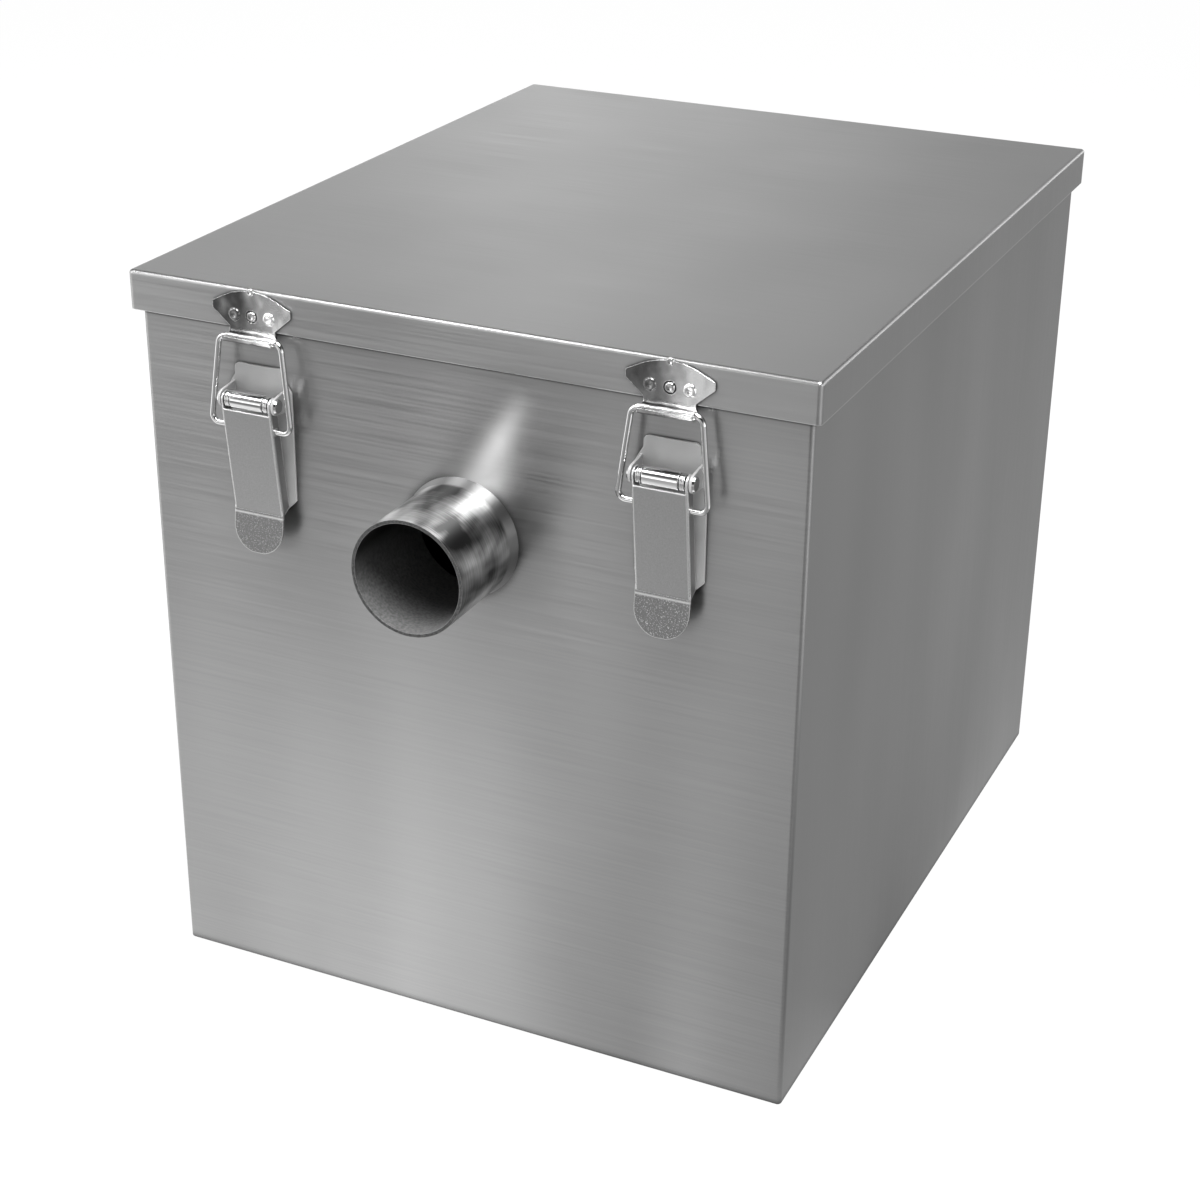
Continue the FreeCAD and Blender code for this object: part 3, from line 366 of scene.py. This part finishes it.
def bright_plate():
    """Electropolished stainless strip: nearly a mirror, slightly wavy.

    Each keeper is painted dull from its middle to the left and bright over 17 mm to the right, a painted
    reflection, with clouds 10 mm wide. The place along X is wrapped so that every keeper's middle counts as 0."""
    material, tree, place = new_material("electropolished_stainless")
    low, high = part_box(LATCHES[0] + "_keeper")
    aside = abs(low.x + high.x) / 2
    along = add(tree, "SeparateXYZ", {"Vector": place}).outputs["X"]
    shifted = add(tree, "Math", {0: along, 1: aside}, operation="ADD")
    local = add(tree, "Math", {0: shifted, 1: -aside, 2: aside}, operation="WRAP")
    waves = grain(tree, place, (9, 9, 9), detail=1.0)
    clouds = grain(tree, place, (10, 10, 10), detail=2.0)
    # Painted reflection: dull at each keeper's middle and left, brighter over 17 mm to its right.
    bright = add(tree, "MapRange", {0: local, 1: -6 * MM, 2: 11 * MM, 3: -0.3, 4: 1.0})
    tone = add(tree, "Math", {0: clouds, 1: 0.8, 2: bright}, operation="MULTIPLY_ADD")
    colour = tint(tree, tone, "#6e6e6e", "#fbfbfb", 0.1, 1.2)
    # Painted highlight along the edges of the keepers and weld beads.
    colour = paint_edge_highlights(tree, colour, 0.25, "#f4f4f4")
    shader = add(tree, "BsdfPrincipled", {
        "Base Color": colour, "Metallic": 1.0, "Roughness": 0.2,
        "Normal": relief(tree, waves, 0.9, 0.8, 0.4)})
    add(tree, "OutputMaterial", {"Surface": shader})
    return material


def bright_wire():
    """Bright drawn stainless wire and turned pins: smooth, with a sharp light line along them."""
    material, tree, place = new_material("bright_drawn_stainless")
    marks = grain(tree, place, (3, 3, 3), detail=1.0)
    shader = add(tree, "BsdfPrincipled", {
        "Base Color": linear("#d2d2d2"), "Metallic": 1.0, "Roughness": 0.1,
        "Normal": relief(tree, marks, 0.02, 0.3, 0.15)})
    add(tree, "OutputMaterial", {"Surface": shader})
    return material


def black_rubber():
    """Nitrile rubber sheet: matt black with a fine dusty tooth, drawn 1 mm apart."""
    material, tree, place = new_material("nitrile_rubber")
    tooth = grain(tree, place, (1, 1, 1))
    shader = add(tree, "BsdfPrincipled", {
        "Base Color": linear("#232323"), "Roughness": 0.75,
        "Normal": relief(tree, tooth, 0.03, 0.4, 0.3)})
    add(tree, "OutputMaterial", {"Surface": shader})
    return material


def dress_solids(wire, plate):
    """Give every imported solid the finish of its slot, or of its kind, and each face that differs its own."""
    lid = brushed_sheet("brushed_stainless_lid", "#9a9a9a", "#a3a3a3", False)
    base = pickled_base()
    by_slot = {"sheet_steel": brushed_sheet("brushed_stainless_sheet", "#919191", "#a3a3a3", True),
               "pipe_steel": polished_tube(), "inner_steel": mill_sheet(),
               "satin_steel": tumbled_stamping(), "bright_steel": wire, "seal_rubber": black_rubber()}
    by_kind = {"pan": lid, "keeper": plate, "base": base}
    slots = {part["node"]: part["material_slot"] for part in frame["record"]["subparts"]}
    for name, solid in solids.items():
        kind = name.split("_")[-1]
        solid.data.materials.clear()
        solid.data.materials.append(by_kind.get(kind, by_slot[slots[name]]))
    line_tubes(matt_bore(), sawn_end())
    roughen_tabs(blasted_tab())


def face_values(mesh, kind):
    """The centres or normals of a mesh's faces, one row each."""
    values = np.zeros(len(mesh.polygons) * 3)
    mesh.polygons.foreach_get(kind, values)
    return values.reshape(-1, 3)


def give_faces(mesh, finish, chosen):
    """One more finish, on the chosen faces."""
    index = np.zeros(len(mesh.polygons), dtype=np.int32)
    mesh.polygons.foreach_get("material_index", index)
    index[chosen] = len(mesh.materials)
    mesh.materials.append(finish)
    mesh.polygons.foreach_set("material_index", index)
    mesh.update()


def roughen_tabs(finish):
    """The tab's faces on each lever: those whose middle lies under the crease."""
    for latch in LATCHES:
        name = latch + "_lever"
        mesh = solids[name].data
        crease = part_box(name)[0].z + CREASE_MM * MM
        give_faces(mesh, finish, face_values(mesh, "center")[:, 2] < crease)


def line_tubes(bore, end):
    """Other finishes on the faces of each straight pipe that look towards its axis, and on its mouth."""
    for name in ("inlet_pipe", "outlet_pipe"):
        mesh = solids[name].data
        low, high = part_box(name)
        middle = (low.z + high.z) / 2
        centres = face_values(mesh, "center")
        normals = face_values(mesh, "normal")
        inward = centres[:, 0] * normals[:, 0] + (centres[:, 2] - middle) * normals[:, 2]
        give_faces(mesh, bore, inward < (low.z - middle) / 2)
        outermost = np.abs(centres[:, 1]) > max(abs(low.y), abs(high.y)) - 0.1 * MM
        give_faces(mesh, end, outermost & (np.abs(normals[:, 1]) > 0.9))


# Pieces that stand in for plain solids

def closed_tubes(name, tubes, finish):
    """One mesh of several tubes, each a grid of rings x points around, closed by a flat cap at each end.

    Ring i joins ring i + 1 by four-sided faces; the first and last ring are filled."""
    points, faces, start = [], [], 0
    for rings in tubes:
        rows, around = rings.shape[:2]
        index = np.arange(rows * around).reshape(rows, around) + start
        turned = np.roll(index, -1, axis=1)
        quads = np.stack([index[:-1], turned[:-1], turned[1:], index[1:]], axis=-1).reshape(-1, 4)
        faces += quads.tolist() + [index[0][::-1].tolist(), index[-1].tolist()]
        points.append(rings.reshape(-1, 3))
        start += rows * around
    mesh = bpy.data.meshes.new(name)
    mesh.from_pydata(np.concatenate(points).tolist(), [], faces)
    work = bmesh.new()
    work.from_mesh(mesh)
    bmesh.ops.recalc_face_normals(work, faces=work.faces)
    work.to_mesh(mesh)
    work.free()
    mesh.polygons.foreach_set("use_smooth", [len(face) == 4 for face in faces])
    mesh.materials.append(finish)
    piece = bpy.data.objects.new(name, mesh)
    bpy.context.scene.collection.objects.link(piece)
    return piece


SPRING_TURNS = 3
SPRING_PLAY = 0.1 * MM  # between the roller and the coil
SPRING_GAPS = 0.15  # the dark gaps between one coil's turns, all together, in wires
STEPS_PER_TURN = 28
WIRE_SIDES = 14


def wound_coil(centre, start, length, hand, outside):
    """A close-wound spring about an axis along X.

    The wire's middle runs along a helix: X = start + pitch a / 2 pi, radius outside - wire/2, a from 0
    to 2 pi turns. Round it goes a circle of the wire's radius, spanned by X and the outward direction.
    The wire is as thick as the turns and gaps leave it: length / (turns + 1 + gaps)."""
    wire = length / (SPRING_TURNS + 1 + SPRING_GAPS)
    whole = 2 * math.pi * SPRING_TURNS
    angle = np.linspace(0, whole, STEPS_PER_TURN * SPRING_TURNS)[:, None]
    circle = np.linspace(0, 2 * math.pi, WIRE_SIDES, endpoint=False)[None, :]
    travel = (length - wire) * angle / whole + wire / 2
    radius = outside - wire / 2 + wire / 2 * np.cos(circle)
    x = centre[0] + hand * (start + travel + wire / 2 * np.sin(circle))
    y = centre[1] + radius * np.cos(angle)
    z = centre[2] + radius * np.sin(angle)
    return np.stack([x, y, z], axis=-1)


def wind_springs(latch, finish):
    """The two coils beside the roller, in the plain sleeves' place."""
    plain = latch + "_springs"
    low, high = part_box(plain)
    pin_low, pin_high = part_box(latch + "_pin")
    roller_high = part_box(latch + "_roller")[1]
    centre = (pin_low + pin_high) / 2
    start = roller_high.x - centre.x + SPRING_PLAY
    length = high.x - centre.x - start
    outside = (high.z - low.z) / 2
    coils = [wound_coil(centre, start, length, hand, outside) for hand in (-1, 1)]
    piece = closed_tubes(latch + "_wound_springs", coils, finish)
    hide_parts(plain)
    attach(piece, "root")


BEAD_PROFILE = [(1.0, 0.0), (0.97, 0.3), (0.9, 0.62), (0.8, 0.87), (0.68, 1.0), (0.54, 0.94),
                (0.4, 0.72), (0.26, 0.48), (0.13, 0.34), (0.02, 0.3)]
BEAD_SIDES = 32
BEAD_HEIGHT = 0.7 * MM
BEAD_PITCH = 8.2 * MM
OUTER_BEAD_RADIUS = 2.7 * MM
MIDDLE_BEAD_RADIUS = 2.2 * MM
PLUG_DEPTH = 0.99 * MM  # how far a plug weld reaches into the keeper
TACK_RADIUS = 1.7 * MM
TACK_DEPTH = 0.3 * MM


def weld_bead(centre, out, radius, depth):
    """A plug weld on a face that looks along Y times out: a raised ring round a shallow crater.

    Its profile is BEAD_PROFILE as shares of the radius and the height, above a short straight plug."""
    profile = np.array([(1.0, 0.0)] + BEAD_PROFILE)
    reach = radius * profile[:, :1]
    level = BEAD_HEIGHT * profile[:, 1:]
    level[0] = -depth
    turn = np.linspace(0, 2 * math.pi, BEAD_SIDES, endpoint=False)[None, :]
    x = centre[0] + reach * np.cos(turn)
    y = centre[1] + out * level + 0 * turn
    z = centre[2] + reach * np.sin(turn)
    return np.stack([x, y, z], axis=-1)


def raise_beads(latch, finish):
    """Three plug welds in a row and the small tack on the keeper's top edge."""
    plain = latch + "_keeper_welds"
    low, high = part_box(plain)
    middle = (low.x + high.x) / 2
    out = -1 if high.y < 0 else 1
    face = low.y + BEAD_HEIGHT if out < 0 else high.y - BEAD_HEIGHT
    row_height = low.z + OUTER_BEAD_RADIUS
    beads = []
    for step in (-1, 0, 1):
        radius = OUTER_BEAD_RADIUS if step else MIDDLE_BEAD_RADIUS
        centre = (middle + step * BEAD_PITCH, face, row_height)
        beads.append(weld_bead(centre, out, radius, PLUG_DEPTH))
    tack = (middle, face, high.z - TACK_RADIUS)
    beads.append(weld_bead(tack, out, TACK_RADIUS, TACK_DEPTH))
    piece = closed_tubes(latch + "_weld_beads", beads, finish)
    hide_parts(plain)
    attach(piece, "root")


# Studio

# How bright the cards on the floor are, by the slope from the middle of their fan: first those near the
# front wall, then those farther out, then those beside the right wall. Only metal sees them. They stand
# fixed, and were laid out for the photograph's viewpoint: a fan's middle lies under the place where the
# wall mirrors that viewpoint, so their bands look upright from there and lean from elsewhere.
FAN_MIDDLE = (0.4218, 0.5938)
NEAR_CARDS = [(-0.2, 1.3), (-0.05, 0.15), (0.25, 0.15), (0.34, 0.42), (0.405, 0.8), (0.438, 0.52),
              (0.522, 1.05), (0.585, 1.7), (0.645, 1.22), (0.8, 1.0), (1.0, 1.5), (2.0, 2.1)]
FAR_CARDS = [(-0.2, 0.6), (-0.05, 0.1), (0.25, 0.1), (0.34, 0.5), (0.43, 0.4), (0.52, 0.12),
             (0.66, 0.1), (0.74, 0.44), (1.0, 0.9), (2.0, 1.5)]
SIDE_MIDDLE = (-0.1238, -0.9618)
SIDE_CARDS = [(2.6, 0.36), (3.03, 0.38), (3.3, 0.29), (3.45, 0.33), (3.8, 0.56), (4.2, 0.53), (5.5, 0.56)]

# How bright the room looks in metal, by the X part of the direction, and its dark side, which is the
# direction that the photograph was taken from.
ROOM_CARDS = [(-1.0, 0.6), (-0.51, 0.85), (-0.43, 1.25), (-0.23, 0.52), (1.0, 1.25)]
DARK_SIDE = (0.379, -0.820, 0.4285)

# Each softbox's name, place, the point it is turned towards, its side in metres and its power in watts.
SOFTBOXES = [("overhead", (0.36, -0.54, 1.5), (0, 0, 0.2), 0.7, 34),
             ("fold_light", (-0.53, -0.6, 1.3), (0, 0, 0.3), 0.5, 8),
             ("left", (-1.4, -1.0, 0.9), (0, 0, 0.2), 0.9, 8)]


def slope_from(tree, place, middle, rise, run):
    """The slope of the line from a point on the floor to a place: its part along rise over that along run."""
    moved = add(tree, "VectorMath", {0: place, 1: (*middle, 0)}, operation="SUBTRACT")
    parts = add(tree, "SeparateXYZ", {"Vector": moved})
    return add(tree, "Math", {0: parts.outputs[rise], 1: parts.outputs[run]}, operation="DIVIDE")


def read_cards(tree, value, cards):
    """The cards' brightness at a value: straight lines between the cards, level beyond both ends.

    The ramp holds each brightness as a share of the greatest. It starts with an element at each end."""
    low, high = cards[0][0], cards[-1][0]
    greatest = max(level for _, level in cards)
    share = add(tree, "MapRange", {0: value, 1: low, 2: high, 3: 0.0, 4: 1.0})
    node = add(tree, "ValToRGB", {"Fac": share})
    elements = node.color_ramp.elements
    for at, _ in cards[1:-1]:
        elements.new((at - low) / (high - low))
    for element, (_, level) in zip(elements, cards):
        element.color = [level / greatest] * 3 + [1.0]
    return add(tree, "Math", {0: node.outputs["Color"], 1: greatest}, operation="MULTIPLY")


def pale_floor():
    """A wide plain floor, almost white to the camera, which the object still shades a little.

    Metal sees pale and greyer cards on it instead, laid out like a fan, which put soft bands into the
    walls. In front, near ones give way to far ones between 0.42 and 0.66 m from the middle, and from
    the front wall backwards the cards beside the right wall take over."""
    half = 4.0
    level = -0.2 * MM  # just under the tank, so that the two don't lie in one plane
    own_light = 0.88  # the rest is matt and takes the object's shadow
    camera_white = 1.02
    mesh = bpy.data.meshes.new("floor")
    mesh.from_pydata([(-half, -half, level), (half, -half, level), (half, half, level),
                      (-half, half, level)], [], [(0, 1, 2, 3)])
    material, tree, place = new_material("pale_floor")
    path = add(tree, "LightPath")
    seen = path.outputs["Is Camera Ray"]
    for ray in ("Is Glossy Ray", "Is Transmission Ray"):
        seen = add(tree, "Math", {0: seen, 1: path.outputs[ray]}, operation="MAXIMUM").outputs[0]
    share = add(tree, "Math", {0: seen, 1: own_light}, operation="MULTIPLY")
    depth = add(tree, "SeparateXYZ", {"Vector": place}).outputs["Y"]
    slope = slope_from(tree, place, FAN_MIDDLE, "X", "Y")
    near = read_cards(tree, slope, NEAR_CARDS)
    far = read_cards(tree, slope, FAR_CARDS)
    side = read_cards(tree, slope_from(tree, place, SIDE_MIDDLE, "Y", "X"), SIDE_CARDS)
    nearness = add(tree, "MapRange", {0: depth, 1: -0.66, 2: -0.42, 3: 0.0, 4: 1.0})
    front = add(tree, "Mix", {0: nearness, 2: far, 3: near}, data_type="FLOAT")
    beside = add(tree, "MapRange", {0: depth, 1: -0.17, 2: -0.1, 3: 0.0, 4: 1.0})
    cards = add(tree, "Mix", {0: beside, 2: front, 3: side}, data_type="FLOAT")
    strength = add(tree, "Mix", {0: path.outputs["Is Camera Ray"], 2: cards, 3: camera_white},
                   data_type="FLOAT")
    matt = add(tree, "BsdfDiffuse", {"Color": linear("#f4f4f4")})
    glow = add(tree, "Emission", {"Color": linear("#ffffff"), "Strength": strength})
    floor = add(tree, "MixShader", {0: share, 1: matt, 2: glow})
    add(tree, "OutputMaterial", {"Surface": floor})
    mesh.materials.append(material)
    piece = bpy.data.objects.new("floor", mesh)
    bpy.context.scene.collection.objects.link(piece)


def soft_room():
    """White to the camera and even to matt things; metal sees a lit room.

    Its walls are pale near the floor and dark overhead. They are brightest a little to the left and far
    to the right, and the side in front on the right is dark."""
    matt_level, camera_white = 0.7, 1.0
    world = bpy.data.worlds.new("soft_room")
    bpy.context.scene.world = world
    world.use_nodes = True
    tree = world.node_tree
    tree.nodes.clear()
    direction = add(tree, "TexCoord").outputs["Generated"]
    parts = add(tree, "SeparateXYZ", {"Vector": direction})
    overhead = add(tree, "MapRange", {0: parts.outputs["Z"], 1: 0.1, 2: 0.45, 3: 2.3, 4: 0.15})
    across = read_cards(tree, parts.outputs["X"], ROOM_CARDS)
    walls = add(tree, "Math", {0: overhead, 1: across}, operation="MULTIPLY")
    towards = add(tree, "VectorMath", {0: direction, 1: DARK_SIDE}, operation="DOT_PRODUCT")
    dark = add(tree, "MapRange", {0: towards.outputs["Value"], 1: 0.7, 2: 0.95, 3: 1.0, 4: 0.12})
    level = add(tree, "Math", {0: walls, 1: dark}, operation="MULTIPLY")
    path = add(tree, "LightPath")
    shown = add(tree, "Mix", {0: path.outputs["Is Camera Ray"], 2: matt_level, 3: camera_white},
                data_type="FLOAT")
    strength = add(tree, "Mix", {0: path.outputs["Is Glossy Ray"], 2: shown, 3: level}, data_type="FLOAT")
    sky = add(tree, "Background", {"Color": linear("#ffffff"), "Strength": strength})
    add(tree, "OutputWorld", {"Surface": sky})


def softbox(name, place, aim, side, power):
    """A square studio light at a place, turned towards a point."""
    lamp = bpy.data.lights.new(name, "AREA")
    lamp.shape = "SQUARE"
    lamp.size = side
    lamp.energy = power
    light = bpy.data.objects.new(name, lamp)
    bpy.context.scene.collection.objects.link(light)
    light.location = place
    light.rotation_euler = (Vector(aim) - Vector(place)).to_track_quat("-Z", "Y").to_euler()


def set_camera():
    """The photograph's viewpoint: its angles, distance and lens, solved from the box's edges."""
    azimuth, elevation, roll = (math.radians(angle) for angle in (24.81, 25.376, -0.579))
    distance = 1.1726
    target = Vector((-0.0228, 0.0, 0.1249))
    back = Vector((math.sin(azimuth) * math.cos(elevation), -math.cos(azimuth) * math.cos(elevation),
                   math.sin(elevation)))
    right = Vector((0, 0, 1)).cross(back).normalized()
    axes = Matrix((right, back.cross(right), back))
    axes = (Matrix.Rotation(roll, 3, "Z") @ axes).transposed()
    lens = bpy.data.cameras.new("camera")
    lens.sensor_width = 36
    lens.lens = 70.7
    camera = bpy.data.objects.new("camera", lens)
    bpy.context.scene.collection.objects.link(camera)
    camera.matrix_world = Matrix.Translation(target + distance * back) @ axes.to_4x4()
    bpy.context.scene.camera = camera


wire_steel = bright_wire()
plate_steel = bright_plate()
dress_solids(wire_steel, plate_steel)
for latch in LATCHES:
    wind_springs(latch, wire_steel)
    raise_beads(latch, plate_steel)
pale_floor()
soft_room()
for name, place, aim, side, power in SOFTBOXES:
    softbox(name, place, aim, side, power)
set_camera()
bpy.context.scene.view_settings.view_transform = "Standard"
